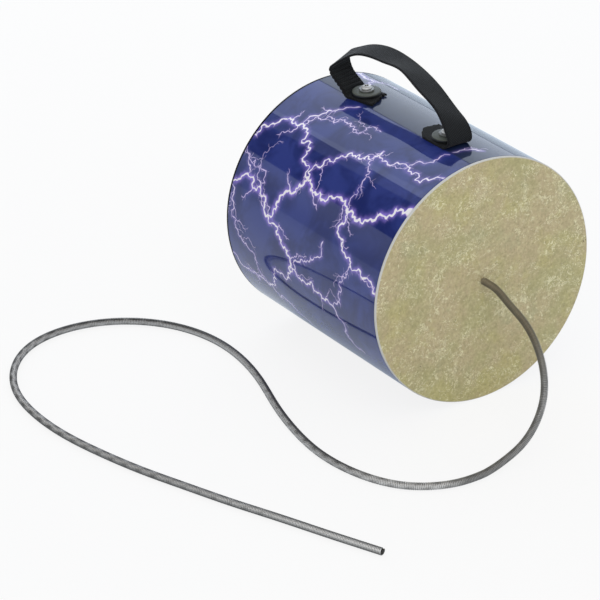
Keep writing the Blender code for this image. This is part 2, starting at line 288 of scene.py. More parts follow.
def smooth_line(points, first_way, last_way, steps=24):
    """Reads a clamped cubic curve through points, evenly in each run."""
    points = np.array(points, dtype=float)
    runs = norm(np.diff(points, axis=0), axis=1)
    grid = np.eye(len(points))
    known = np.zeros_like(points)
    known[0], known[-1] = first_way, last_way
    for i in range(1, len(points) - 1):
        before, after = runs[i - 1], runs[i]
        grid[i, i - 1:i + 2] = after, 2 * (before + after), before
        known[i] = 3 * (after * (points[i] - points[i - 1]) / before
                        + before * (points[i + 1] - points[i]) / after)
    ways = np.linalg.solve(grid, known)
    read = [points[0]]
    for i, run in enumerate(runs):
        for t in np.arange(1, steps + 1) / steps:
            read.append((2 * t**3 - 3 * t**2 + 1) * points[i] + (3 * t**2 - 2 * t**3) * points[i + 1]
                        + run * ((t**3 - 2 * t**2 + t) * ways[i] + (t**3 - t**2) * ways[i + 1]))
    return np.array(read)


def marks_of(line):
    """How far along a line each of its points lies."""
    return np.concatenate([[0], np.cumsum(norm(np.diff(line, axis=0), axis=1))])


def read_line(line, marks):
    """Points on a line at the distances given."""
    return np.stack([np.interp(marks, marks_of(line), column) for column in line.T], axis=1)


root_end = (0.0, -0.08675, AXIS_HEIGHT)
knots = [root_end, *(np.array(FALL) / 1000)]
knots += [(x / 1000, y / 1000, SPRING_DIAMETER / 2) for x, y in FLOOR_RUN]
last_way = np.array(knots[-1]) - np.array(knots[-2])
lying = smooth_line(knots, (0, -1, 0), last_way / norm(last_way))
lying[:, 2] = np.maximum(lying[:, 2], SPRING_DIAMETER / 2)
spring_line = np.concatenate([[SPRING_EXIT], lying])
spring_length = marks_of(spring_line)[-1]
print("spring length %.3f m" % spring_length)

# %% [markdown]
# ## The wound wire
# The real spring is one wire wound closed, about nine hundred turns side by
# side. Stripes in a texture would leave its edge straight, so the wire itself
# is wound here, once round the line in a millimetre, about its own thickness.
# A curve with a round bevel makes it solid. Twelve points to a turn and six
# sides are enough for so thin a wire.

# %% Wind the spring
TURN_POINTS = 12
PITCH = 0.0010
turns = int(spring_length / PITCH)
marks = np.linspace(0.0005, spring_length - 0.0005, turns * TURN_POINTS + 1)
centres = read_line(spring_line, marks)
ways = np.gradient(centres, axis=0)
ways /= norm(ways, axis=1)[:, None]
winding_radius = (SPRING_DIAMETER - WIRE_DIAMETER) / 2
side = Vector((0, 0, 1))
wire = []
for number, (centre, way) in enumerate(zip(centres, ways)):
    way = Vector(way)
    side = (side - way * side.dot(way)).normalized()
    angle = 2 * math.pi * number / TURN_POINTS
    spoke = side * math.cos(angle) + way.cross(side) * math.sin(angle)
    wire.append(Vector(centre) + spoke * winding_radius)
coil = bpy.data.curves.new("long_spring", "CURVE")
put(coil, dimensions="3D", bevel_depth=WIRE_DIAMETER / 2, bevel_resolution=1, use_fill_caps=True)
run = coil.splines.new("POLY")
run.points.add(len(wire) - 1)
run.points.foreach_set("co", np.array([(*p, 1) for p in wire]).ravel())
long_spring = bpy.data.objects.new("long_spring", coil)
bpy.context.collection.objects.link(long_spring)
choose(long_spring)
bpy.ops.object.convert(target="MESH")
long_spring = bpy.context.object
bpy.ops.object.shade_smooth()
print("turns:", turns, "faces:", len(long_spring.data.polygons))

# %% [markdown]
# ## Where the spring gets its painted highlight
# Each point of the wire keeps how far it is from the head and how much painted
# highlight it gets. A narrow light line is painted along the part that lies on
# the floor, a painted highlight where the studio's light would catch the wire.
# In the bend the line is painted turning inward and broader. It is faint where
# the spring hangs, and brightest just past the bend and towards the free end.

# %% Paint the spring's highlight
# The side of the wire that the painted highlight faces.
HIGHLIGHT_SIDE = np.array((-0.46, -0.69, 0.56))
BEND_END = 0.24
inward = centres[marks < BEND_END].mean(axis=0) - centres
inward_share = 0.8 * np.clip((BEND_END + 0.02 - marks) / 0.06, 0, 1)
inward *= (inward_share / norm(inward, axis=1))[:, None]
toward = HIGHLIGHT_SIDE + inward
toward -= ways * np.sum(toward * ways, axis=1)[:, None]
outward = (np.array(wire) - centres) / winding_radius
facing = np.sum(outward * toward, axis=1) / norm(toward, axis=1)
line_share = np.interp(marks, (0.12, 0.14, 0.16, 0.175, 0.205, 0.235, 0.75, 0.88),
                       (0.25, 0.15, 0.15, 0.75, 0.75, 0.60, 0.60, 0.97))
rest_share = np.interp(marks, (0.160, 0.175, 0.205, BEND_END), (0.14, 0.20, 0.20, 0.03))
width = np.interp(marks, (0.205, BEND_END), (0.55, 0.32))
# How much painted highlight each point of the wire gets.
rubbed = rest_share + line_share * np.clip((facing - 1 + width) / width, 0, 1)
count = len(long_spring.data.vertices)
nearest = np.arange(count) * len(wire) // count
carry(long_spring, rubbed=rubbed[nearest], from_head=marks[nearest])
print("rubbed from %.2f to %.2f" % (rubbed.min(), rubbed.max()))

# %% [markdown]
# ## Handled metal
# Steel that is handled is never one even grey. Soft clouds change its
# roughness, and fine scuffs its colour. The spring, the screws and the washers
# all use this one node group, each with its own values.

# %% The handled metal group
handled = bpy.data.node_groups.new("handled_metal", "ShaderNodeTree")
for way, names in (("INPUT", ("Colour", "Worn Colour", "Size", "Roughness", "Spread")),
                   ("OUTPUT", ("Colour", "Roughness", "Height"))):
    for name in names:
        kind = "NodeSocketColor" if "Colour" in name else "NodeSocketFloat"
        handled.interface.new_socket(name, in_out=way, socket_type=kind)
taken = handled.nodes.new("NodeGroupInput").outputs
spots = add(handled, "TexCoord").outputs["Object"]
clouds = noise(handled, spots, taken["Size"], 4, 0.6)
scuffs = noise(handled, spots, times(handled, taken["Size"], 5), 2, 0.7, 1.5)
worn = mix(handled, ramp(handled, scuffs, 0.52, 0.72), taken["Colour"], taken["Worn Colour"])
swing = times(handled, maths(handled, "SUBTRACT", clouds, 0.5), taken["Spread"])
fill(handled, handled.nodes.new("NodeGroupOutput"), Colour=worn, Height=clouds,
     Roughness=maths(handled, "ADD", taken["Roughness"], swing))


def metal(name, colour, worn_colour, size, roughness, spread, metallic, bump=0.1):
    """A metal finish: its material, its tree, its shader and its colour."""
    material, tree, shader, _ = finish(name)
    group = add(tree, "Group", {"node_tree": handled}, Colour=(*colour, 1), Worn_Colour=(*worn_colour, 1),
                Size=size, Roughness=roughness, Spread=spread).outputs
    fill(tree, shader, Base_Color=group["Colour"], Roughness=group["Roughness"], Metallic=metallic,
         Normal=bumps(tree, group["Height"], bump, 0.0002))
    return material, tree, shader, group["Colour"]


# %% [markdown]
# ## Spring steel
# The wire is drawn steel, grey. A painted highlight runs along it as a light
# line, and the rest stays dark. Near the head a brown is painted in, a painted
# reflection of the parchment head. The wound spring takes the place of the
# imported spring and its root.

# %% Finish the spring
spring_steel, tree, shader, light_steel = metal("spring_steel", (0.92, 0.905, 0.88), (0.98, 0.97, 0.95),
                                          300, 0.36, 0.12, 0.5)
# Away from the painted highlight the wire is dark steel.
dark_steel = mix(tree, 1, light_steel, (0.12, 0.118, 0.115), "MULTIPLY")
grey = mix(tree, carried(tree, "rubbed"), dark_steel, light_steel)
# Near the head a brown is painted in: a painted reflection of the parchment head.
head_reflection = mix(tree, 1, grey, (0.78, 0.69, 0.50), "MULTIPLY")
fill(tree, shader, Base_Color=mix(tree, ramp(tree, carried(tree, "from_head"), 0.045, 0.080), head_reflection, grey))
wear(long_spring, spring_steel)
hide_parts("spring", "spring_root")
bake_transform(long_spring)
path = read_line(spring_line, np.linspace(0, spring_length, 400))

# %% [markdown]
# ## The print's forks of light
# The film shows a net of lightning on a night sky. Each fork is grown by seeded
# chance: a line from one place to another is broken in the middle, pushed
# aside, and broken again, more sharply each time, down to a millimetre or two.
# At a kink a side fork may run on while the line turns away, as sparks do, and
# short thorns stand off the same way. Where strong forks meet there is a small
# white blot. All of it is laid out on the flat sheet.

# %% Grow the forks
SHEET_LENGTH = 2 * math.pi * RADIUS
chance = random.Random(23)


def broken(first, last, finest):
    """A jagged line between two places on the sheet."""
    line = [np.array(first), np.array(last)]
    sway = 0.12
    while norm(line[1] - line[0]) > finest:
        finer = [line[0]]
        for start, end in zip(line, line[1:]):
            way = end - start
            push = np.array((-way[1], way[0])) * chance.choice((-1, 1)) * chance.uniform(0.4, 1.3) * sway
            finer += [(start + end) / 2 + push, end]
        line = finer
        sway = min(sway + 0.05, 0.29)
    return line


def turned_way(way, degrees):
    """A way on the sheet, turned."""
    c, s = math.cos(math.radians(degrees)), math.sin(math.radians(degrees))
    return np.array((way[0] * c - way[1] * s, way[0] * s + way[1] * c))


# Per level, in metres: finest piece, chance of a side fork at a kink, shortest
# and longest side fork, and chance of a thorn.
HABITS = [
    (0.0025, 0.07, 0.006, 0.020, 0.55),
    (0.0019, 0.05, 0.003, 0.007, 0.22),
    (0.0014, 0.0, 0.0, 0.0, 0.0),
]
THORN_PIECE = 0.0011


def grow(first, last, strength, forks, level=0):
    """Adds a fork, its side forks and its thorns to the list of forks."""
    finest, often, shortest, longest, hairy = HABITS[level]
    line = broken(first, last, finest)
    forks.append((line, strength, level))
    for before, kink in zip(line, line[1:-1]):
        way = (kink - before) / (norm(kink - before) + 1e-9)
        if chance.random() < often:
            reach = turned_way(way, chance.uniform(-35, 35)) * chance.uniform(shortest, longest)
            grow(kink, kink + reach, strength * chance.uniform(0.45, 0.7), forks, level + 1)
        elif chance.random() < hairy:
            reach = turned_way(way, chance.uniform(-70, 70)) * chance.uniform(0.0010, 0.0028)
            forks.append((broken(kink, kink + reach, THORN_PIECE), strength * chance.uniform(0.4, 0.7), 3))


# The main forks on the sheet, in millimetres: from, to and strength.
STRIKES = [
    ((4, 30), (34, 46), 0.65), ((34, 46), (58, 80), 0.8), ((34, 46), (60, 14), 0.75),
    ((60, 14), (24, -22), 0.7), ((24, -22), (20, -78), 0.6), ((60, 14), (64, -30), 1.0),
    ((64, -30), (46, -78), 1.0), ((60, 14), (92, 36), 1.0), ((92, 36), (84, 80), 0.9),
    ((92, 36), (118, 10), 0.9), ((118, 10), (88, -20), 0.5), ((118, 10), (124, -34), 0.7),
    ((64, -30), (92, -50), 0.8), ((92, -50), (124, -34), 0.45), ((92, -50), (100, -78), 0.8),
    ((118, 10), (140, 44), 0.6), ((140, 44), (132, 80), 0.6), ((124, -34), (150, -52), 0.5),
    ((140, 44), (168, 4), 0.5), ((447, 79), (450, 62), 1.0), ((450, 62), (442, 46), 0.6),
    ((450, 62), (464, 50), 0.6), ((2, -58), (26, -47), 0.5), ((477, -58), (462, -66), 0.6),
    ((58, 80), (92, 36), 0.35), ((24, -22), (64, -30), 0.42), ((84, 80), (118, 58), 0.45),
    ((118, 58), (140, 44), 0.40), ((34, 46), (12, -4), 0.45),
]
# The blots, in millimetres: place and size.
BLOTS = [(60, 14, 0.95), (64, -30, 0.8), (92, 36, 0.7), (118, 10, 0.6), (34, 46, 0.6), (47, -75.5, 1.5)]
forks = []
for first, last, strength in STRIKES:
    grow(np.array(first) / 1000, np.array(last) / 1000, strength, forks)
far_hubs = [(0.190 + 0.034 * i + chance.uniform(-0.01, 0.01), chance.uniform(-0.05, 0.05))
            for i in range(7)]
for first, last in zip(far_hubs, far_hubs[1:]):
    grow(first, last, chance.uniform(0.6, 1.0), forks)
for hub in far_hubs:
    edge = chance.choice((-0.078, 0.079))
    grow(hub, (hub[0] + chance.uniform(-0.03, 0.03), edge), chance.uniform(0.5, 0.9), forks)
print("forks:", len(forks))

# %% [markdown]
# ## The sheet of film
# A picture needs small faces only where it is busy. So the flat sheet is filled
# with points, a coarse grid everywhere and close rows along each fork, and the
# triangles between them are found by Delaunay's rule.

# %% Lay the points out
GRID = 0.0024
ROW_STEP = 0.0005
END_SHARE = (1, 0.4, 0.3, 0.2)
samples = []
points = []
for line, strength, level in forks:
    line = np.array(line)
    spans = marks_of(line)
    along = np.linspace(0, spans[-1], max(3, int(spans[-1] / ROW_STEP)))
    places = read_line(line, along)
    ways = np.gradient(places, axis=0)
    ways /= norm(ways, axis=1)[:, None] + 1e-12
    sides = np.stack([-ways[:, 1], ways[:, 0]], axis=1)
    power = strength * (1 - (1 - END_SHARE[level]) * along / spans[-1])
    swell = np.interp(along, spans, [chance.uniform(0.5, 1.7) for _ in spans])
    half_width = (0.00011 + 0.00022 * power**1.5) * swell
    inside = (places[:, 0] > 0.001) & (places[:, 0] < SHEET_LENGTH - 0.001)
    inside &= (places[:, 1] > FILM_START + 0.0004) & (places[:, 1] < RIM_FACE - 0.0004)
    samples += np.column_stack([places, power, half_width])[inside].tolist()
    for share in ((-2.4, -0.9, 0, 0.9, 2.4) if level < 2 else (-1.7, 0, 1.7)):
        points += (places + sides * (half_width * share)[:, None])[inside].tolist()
for s, y, size in np.array(BLOTS) / 1000:
    samples.append((s, y, 1, size))
    for turn in np.linspace(0, 2 * math.pi, 10, endpoint=False):
        way = np.array((math.cos(turn), math.sin(turn)))
        points += [tuple((s, y) + reach * size * way) for reach in (0.6, 1.2, 2.0)]
samples = np.array(samples)
print("fork samples:", len(samples), "close points:", len(points))

# %% Join them into triangles
edge_ys = np.linspace(FILM_START, RIM_FACE, int((RIM_FACE - FILM_START) / GRID) + 1)
edge_ss = np.linspace(0, SHEET_LENGTH, int(SHEET_LENGTH / GRID) + 1)
nearby = KDTree(len(samples))
for i, (s, y, _, _) in enumerate(samples):
    nearby.insert((s, y, 0), i)
nearby.balance()
BORDER = 0.0008
points = [p for p in points if BORDER < p[0] < SHEET_LENGTH - BORDER
          and FILM_START + BORDER < p[1] < RIM_FACE - BORDER]
ends = (0, 0.0002, 0.0006, SHEET_LENGTH - 0.0002, SHEET_LENGTH - 0.0006, SHEET_LENGTH)
for y in edge_ys:
    points += [(s, y) for s in ends]
for s in edge_ss[1:-1]:
    points += [(s, FILM_START), (s, RIM_FACE)]
    for y in edge_ys[1:-1]:
        if nearby.find((s, y, 0))[2] > 0.0011:
            points.append((s, y))
sheet_points, _, sheet_faces = delaunay_2d_cdt([Vector(p) for p in points], [], [], 0, 1e-5)[:3]
print("sheet points:", len(sheet_points), "triangles:", len(sheet_faces))

# %% [markdown]
# ## Roll the sheet into a sleeve
# Rolled up, the sheet's two ends meet along one fine seam just left of the
# handle. Each point carries how near it is to a fork's core, how much of the
# forks' glow reaches it, and how near the seam it is. The sleeve is then
# closed: its two edge rings are extruded inwards by the film's thickness, and
# the inner rings are bridged. A glossy surface shows every facet in its
# reflections, so the outer side gets the normals of a true cylinder.

# %% Roll it
SEAM_ANGLE = math.radians(6)
FILM_THICKNESS = 0.0004
GLOW_REACH = 0.0019
SEAM_WIDTH = 0.0004


def rolled(s, y):
    """The place on the drum of a place on the flat sheet."""
    angle = SEAM_ANGLE + s / RADIUS
    return -RADIUS * math.sin(angle), y, AXIS_HEIGHT + RADIUS * math.cos(angle)


flat = np.array(sheet_points)
core = np.zeros(len(flat))
glow = np.zeros(len(flat))
for i, (s, y) in enumerate(flat):
    for _, index, gap in nearby.find_n((s, y, 0), 14):
        power, half_width = samples[index, 2:]
        core[i] = max(core[i], (0.28 + 0.72 * power) * min(1, max(0, 2.0 - gap / half_width)))
        glow[i] = max(glow[i], power * math.exp(-gap / GLOW_REACH))
seam = np.maximum(0, 1 - np.minimum(flat[:, 0], SHEET_LENGTH - flat[:, 0]) / SEAM_WIDTH)
film = drawn("printed_film", [rolled(s, y) for s, y in flat], [], sheet_faces)
carry(film, core=core, glow=glow, seam=seam)
bpy.ops.object.mode_set(mode="EDIT")
bpy.ops.mesh.select_all(action="SELECT")
bpy.ops.mesh.remove_doubles(threshold=2e-6)
bpy.ops.mesh.normals_make_consistent(inside=False)
inward = 1 - FILM_THICKNESS / RADIUS
for edge in (FILM_START, RIM_FACE):
    shape = bmesh.from_edit_mesh(film.data)
    bpy.ops.mesh.select_all(action="DESELECT")
    bpy.ops.mesh.select_mode(type="EDGE")
    for line in shape.edges:
        line.select_set(line.is_boundary and all(abs(v.co.y - edge) < 1e-6 for v in line.verts))
    bmesh.update_edit_mesh(film.data)
    bpy.ops.mesh.extrude_edges_move()
    bpy.ops.transform.resize(value=(inward, 1, inward), center_override=(0, edge, AXIS_HEIGHT))
shape = bmesh.from_edit_mesh(film.data)
for line in shape.edges:
    line.select_set(line.is_boundary)
bmesh.update_edit_mesh(film.data)
bpy.ops.mesh.bridge_edge_loops()
bpy.ops.mesh.select_all(action="SELECT")
bpy.ops.mesh.normals_make_consistent(inside=False)
bpy.ops.object.mode_set(mode="OBJECT")
bpy.ops.object.shade_smooth()
print("sleeve faces:", len(film.data.polygons))

# %% Give it a true cylinder's normals
film_normals = []
for face in film.data.polygons:
    middle = face.center - Vector((0, face.center.y, AXIS_HEIGHT))
    outer = abs(face.normal.y) < 0.5 and face.normal.dot(middle) > 0
    for index in face.vertices:
        place = film.data.vertices[index].co
        spoke = Vector((place.x, 0, place.z - AXIS_HEIGHT))
        film_normals.append(spoke.normalized() if outer else face.normal)
film.data.normals_split_custom_set(film_normals)

# %% [markdown]
# ## The printed film's finish
# Under a clear, very glossy layer lies the ink: deep blue with darker clouds,
# a violet glow near the forks, and a white core in each. To the right of the
# seam it is darker and greyer. The clear layer is the shader's coat, which
# mirrors the studio. It is thinner along the seam and on the dark trim at the
# far rim.

# %% Finish the film
print_ink, tree, shader, where = finish("printed_film")
clouds = ramp(tree, noise(tree, where, 38, 3, 0.55, 0.6), 0.34, 0.64)
mist = noise(tree, where, 90, 4, 0.6)
core_value = carried(tree, "core")
seam_value = carried(tree, "seam")
spot = parts_of(tree, where)
past_seam = times(tree, ramp(tree, spot["X"], -0.0079, -0.0074), ramp(tree, spot["Z"], 0.10, 0.13))
sky = mix(tree, clouds, (0.007, 0.017, 0.140), (0.026, 0.044, 0.245))
sky = mix(tree, times(tree, past_seam, 0.8), sky, (0.012, 0.024, 0.052))
lit = times(tree, carried(tree, "glow"), ramp(tree, mist, 0.25, 0.75, 0.7, 1.15))
halo = mix(tree, ramp(tree, lit, 0.05, 0.85), sky, (0.32, 0.22, 0.80))
ink = mix(tree, ramp(tree, core_value, 0.05, 0.55, 0, 0.9), halo, (0.74, 0.60, 0.98))
ink = mix(tree, ramp(tree, core_value, 0.45, 0.80), ink, (1, 0.97, 1))
ink = mix(tree, times(tree, seam_value, 0.8), ink, (0.030, 0.034, 0.07))
trim = ramp(tree, spot["Y"], RIM_FACE - 0.0017, RIM_FACE - 0.0012)
ink = mix(tree, trim, ink, (0.004, 0.004, 0.008))
dull = maths(tree, "MAXIMUM", seam_value, trim)
fill(tree, shader, Base_Color=ink, Roughness=0.5, Specular_IOR_Level=0.1,
     Coat_Weight=ramp(tree, dull, 0, 0.8, 1, 0.1), Coat_Roughness=0.02)
wear(film, print_ink)
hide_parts("shell_film")
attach(film, "drum")

# %% [markdown]
# ## The board tube
# The shell itself is board, wound in a spiral from strips of paper. It shows at
# the open rim and inside. It is turned from its outline, and a cutter takes
# out the two screw holes. The finish is brown paper with soft fibres and the
# fine line where one strip meets the next: a helix, found from the angle round
# the tube and the place along it.

# %% Turn the tube
HOLE = 0.00205
BORE = 0.0723
OUTSIDE = 0.0755
SIDES = 160
outline = [(BORE, FILM_START), (OUTSIDE, FILM_START), (OUTSIDE, RIM_FACE), (BORE, RIM_FACE)]
tube = turned("board_tube", outline, SIDES, (0, 0, AXIS_HEIGHT), along_y=True)
for place in FOOT_PLACES.values():
    bpy.ops.mesh.primitive_cylinder_add(vertices=24, radius=HOLE, depth=0.012, location=(0, place, CROWN))
    cut_out(tube, bpy.context.object)
print("tube faces:", len(tube.data.polygons))

# %% Finish the tube
board, tree, shader, where = finish("wound_board")
STRIP_RISE = 0.095
spot = parts_of(tree, where)
angle = maths(tree, "ARCTAN2", spot["X"], maths(tree, "SUBTRACT", spot["Z"], AXIS_HEIGHT))
rise = maths(tree, "DIVIDE", spot["Y"], STRIP_RISE)
lay = maths(tree, "ADD", rise, maths(tree, "DIVIDE", angle, 2 * math.pi))
strip = maths(tree, "ABSOLUTE", maths(tree, "SUBTRACT", maths(tree, "FRACT", lay), 0.5))
joint_line = ramp(tree, strip, 0.492, 0.4985)
fibres = noise(tree, where, 700, 4, 0.7)
blotches = noise(tree, where, 35, 3)
paper = mix(tree, ramp(tree, blotches, 0.3, 0.7), (0.27, 0.185, 0.11), (0.36, 0.26, 0.165))
paper = mix(tree, ramp(tree, fibres, 0.35, 0.7, 0, 0.5), paper, (0.46, 0.36, 0.25))
paper = mix(tree, times(tree, joint_line, 0.75), paper, (0.11, 0.075, 0.045))
relief = maths(tree, "SUBTRACT", times(tree, fibres, 0.4), joint_line)
fill(tree, shader, Base_Color=paper, Roughness=0.85, Normal=bumps(tree, relief, 0.5, 0.0004))
wear(tube, board)
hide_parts("shell_tube")
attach(tube, "drum")

# %% [markdown]
# ## The drumhead
# The head is a disc of film grained like old parchment, stretched over the rim
# and turned back at its edge. It sinks by half a millimetre in the middle,
# where the spring is fixed. Its outline is spun round the drum's axis.

# %% Turn the head
def sunk(r):
    """How far the head sinks at a distance from its middle."""
    return 0.0005 * (0.5 + 0.5 * math.cos(math.pi * min(r / 0.014, 1)))


HEAD_THICKNESS = 0.0004
HEAD_END = -0.07675
EDGE = 0.0008


def bent_edge(size, turns):
    """Points of one size round the middle of the head's bent edge."""
    return [(RADIUS - EDGE + size * math.sin(t), HEAD_FACE + EDGE - size * math.cos(t)) for t in turns]


front = [(r, HEAD_FACE + sunk(r)) for r in (0.0010, 0.0030, 0.0060, 0.0090, 0.0120, 0.0140, 0.045)]
front += bent_edge(EDGE, np.linspace(0, math.pi / 2, 6)) + [(RADIUS, HEAD_END)]
behind = [(RADIUS - HEAD_THICKNESS, HEAD_END)]
behind += bent_edge(EDGE - HEAD_THICKNESS, np.linspace(math.pi / 2, 0, 4))
behind += [(r, HEAD_FACE + HEAD_THICKNESS + sunk(r)) for r in (0.0140, 0.0090, 0.0050, 0.0010)]
head = turned("parchment_head", front + behind, SIDES, (0, 0, AXIS_HEIGHT), along_y=True)
print("head faces:", len(head.data.polygons))

# %% [markdown]
# ## Parchment
# The head's colour is a warm straw with yellow, green and pinkish clouds.
# Short pale fibres lie in it in all directions, some in small nests, with a
# few dark specks. Noise that is stretched one way gives short strokes, which
# are laid four times, each turned and masked differently. Warped cell edges
# give the nests, and fine noise the grain. The edge, where the head turns over
# the rim, is painted as a pale line: a painted highlight on the rounded edge.

# %% Finish the head
parchment, tree, shader, where = finish("parchment")
flatten = add(tree, "Mapping", Vector=where, Scale=(1, 0.05, 1)).outputs[0]
warp = add(tree, "TexNoise", Vector=flatten, Scale=120.0, Detail=4.0, Roughness=0.65).outputs["Color"]
bent = mix(tree, 0.012, flatten, warp, "LINEAR_LIGHT")


def strokes(degrees, offset, length, patch):
    """Short strokes that run one way, kept only in patches."""
    turned_flat = add(tree, "Mapping", Vector=bent, Location=(offset, 0, offset),
                      Rotation=(0, math.radians(degrees), 0)).outputs[0]
    stretched = add(tree, "Mapping", Vector=turned_flat, Scale=(1, 1, length)).outputs[0]
    marks = ramp(tree, noise(tree, stretched, 850, 1), 0.58, 0.65)
    return times(tree, marks, ramp(tree, noise(tree, turned_flat, 60, 3, 0.6), patch, patch + 0.07))


clouds = noise(tree, flatten, 26, 4, 0.6)
elsewhere = add(tree, "Mapping", Vector=flatten, Location=(0.31, 0, 0.17)).outputs[0]
tones = noise(tree, elsewhere, 30, 4, 0.65)
grain = noise(tree, flatten, 620, 5, 0.75)
mottle = noise(tree, flatten, 210, 4, 0.7, 1)
straw = mix(tree, ramp(tree, clouds, 0.38, 0.60), (0.48, 0.44, 0.215), (0.56, 0.46, 0.27))
for value, low, high, share, colour in (
        (tones, 0.50, 0.66, 0.60, (0.56, 0.51, 0.2)), (tones, 0.46, 0.34, 0.65, (0.455, 0.44, 0.25)),
        (mottle, 0.50, 0.68, 0.40, (0.66, 0.61, 0.34)), (mottle, 0.48, 0.32, 0.30, (0.42, 0.365, 0.19)),
        (grain, 0.50, 0.72, 0.75, (0.72, 0.66, 0.37)), (grain, 0.50, 0.30, 0.70, (0.33, 0.28, 0.14))):
    straw = mix(tree, ramp(tree, value, low, high, 0, share), straw, colour)
cells = add(tree, "TexVoronoi", {"feature": "DISTANCE_TO_EDGE"}, Vector=bent, Scale=120.0).outputs["Distance"]
nests = ramp(tree, noise(tree, flatten, 46, 3, 0.6), 0.54, 0.64)
lines = times(tree, ramp(tree, cells, 0.055, 0.01), nests)
for degrees, offset, length, patch in ((20, 0.0, 0.14, 0.54), (78, 0.11, 0.10, 0.55),
                                       (-38, 0.23, 0.12, 0.55), (-66, 0.37, 0.10, 0.56)):
    lines = maths(tree, "MAXIMUM", lines, strokes(degrees, offset, length, patch))
straw = mix(tree, times(tree, lines, 0.9), straw, (0.88, 0.84, 0.56))
dots = add(tree, "TexVoronoi", Vector=bent, Scale=150.0).outputs["Distance"]
rare = ramp(tree, noise(tree, flatten, 75, 1), 0.66, 0.72)
straw = mix(tree, times(tree, ramp(tree, dots, 0.16, 0.08), rare), straw, (0.14, 0.10, 0.04))
spot = parts_of(tree, where)
from_axis = add(tree, "CombineXYZ", X=spot["X"], Z=maths(tree, "SUBTRACT", spot["Z"], AXIS_HEIGHT)).outputs[0]
reach = add(tree, "VectorMath", {"operation": "LENGTH"}, n0=from_axis).outputs["Value"]
# A pale line is painted at the edge: a painted highlight on the head's rounded edge.
straw = mix(tree, ramp(tree, reach, RADIUS - EDGE, RADIUS - 0.0003), straw, (0.68, 0.68, 0.66))
relief = maths(tree, "ADD", grain, lines)
fill(tree, shader, Base_Color=straw, Roughness=0.55, Normal=bumps(tree, relief, 0.3, 0.0003))
wear(head, parchment)
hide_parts("drumhead")
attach(head, "drum")

# %% [markdown]
# ## The webbing handle
# The handle is one length of woven webbing, screwed down near both ends, its
# middle standing up in a leaning arch. Each row of ARCH is one place on it: how
# far sideways, along and up, as shares of the arch's size, and the strap's
# turn and tilt there in degrees. A grid of points follows them. Twenty-four
# faces across let its cut ends and its puckers show. A Solidify modifier gives
# the thickness of the weave, and a Bevel softens its edges.

# %% The strap's rails
STRAP_WIDTH = 0.018
STRAP_THICKNESS = 0.0013
FOOT_ROWS = 18
FRONT_ROWS = 26
HALF_SPACING = 0.0404
MIDDLE = -0.0023
ARCH_HEIGHT = 0.0294
FOOT_REACH = 0.0078
REAR_TURN = 13
ARCH = [
    (-0.06, 1.256, 0.094, 13, -2), (-0.10, 1.456, 0.322, 13, -4), (-0.11, 1.531, 0.504, 15, 0),
    (-0.10, 1.497, 0.635, 23, 5), (-0.04, 1.358, 0.781, 25, 3), (0.04, 1.141, 0.934, 19, 0),
    (0.12, 0.837, 1.0, 10, 0), (0.15, 0.453, 0.994, 0, -5), (0.12, 0.009, 0.992, -4, -16),
    (0.07, -0.492, 0.835, 1, -14), (0.05, -0.971, 0.570, 5, -17), (0.02, -1.250, 0.297, 2, -8),
    (0.01, -1.295, 0.137, 6, -7),
]


def across_strap(turn, tilt):
    """The way from one edge of the strap to the other."""
    turn, tilt = math.radians(turn), math.radians(tilt)
    return np.array([math.cos(turn) * math.cos(tilt), math.sin(turn) * math.cos(tilt), math.sin(tilt)])


seat = CROWN + 0.0003 + STRAP_THICKNESS / 2
rear_across = across_strap(REAR_TURN, 0)
rear_way = np.array([-rear_across[1], rear_across[0], 0])
front_way = np.array([0.0, 1.0, 0.0])
rear_screw = np.array([0, FOOT_PLACES["rear"], seat])
front_screw = np.array([0, FOOT_PLACES["front"], seat])
knots = [(rear_screw + rear_way * FOOT_REACH, rear_across)]
for sideways, along, height, turn, tilt in ARCH:
    knot = (HALF_SPACING * sideways, MIDDLE + HALF_SPACING * along, CROWN + ARCH_HEIGHT * height)
    knots.append((np.array(knot), across_strap(turn, tilt)))
knots.append((front_screw - front_way * FOOT_REACH, across_strap(0, 0)))
rails = []
for side in (-1, 1):
    reach = side * STRAP_WIDTH / 2
    arch = smooth_line([knot + across * reach for knot, across in knots], rear_way, front_way, 20)
    rear_tail = [rear_screw + rear_across * reach - rear_way * d
                 for d in np.linspace(0.0097 - side * 0.0027, -0.0070, FOOT_ROWS)]
    front_tail = [front_screw + across_strap(0, 0) * reach + front_way * d
                  for d in np.linspace(-0.0070, 0.0205 + side * 0.0012, FRONT_ROWS)]
    rails.append(np.concatenate([rear_tail, arch, front_tail]))
near, far = rails
stations = (near + far) / 2
strap_marks = marks_of(stations)
leg = strap_marks - strap_marks[FOOT_ROWS]
front_leg = strap_marks[-FRONT_ROWS - 1] - strap_marks
bend = 1 - np.clip(np.minimum(leg, front_leg) / 0.008, 0, 1)
print("strap length %.3f m" % strap_marks[-1])

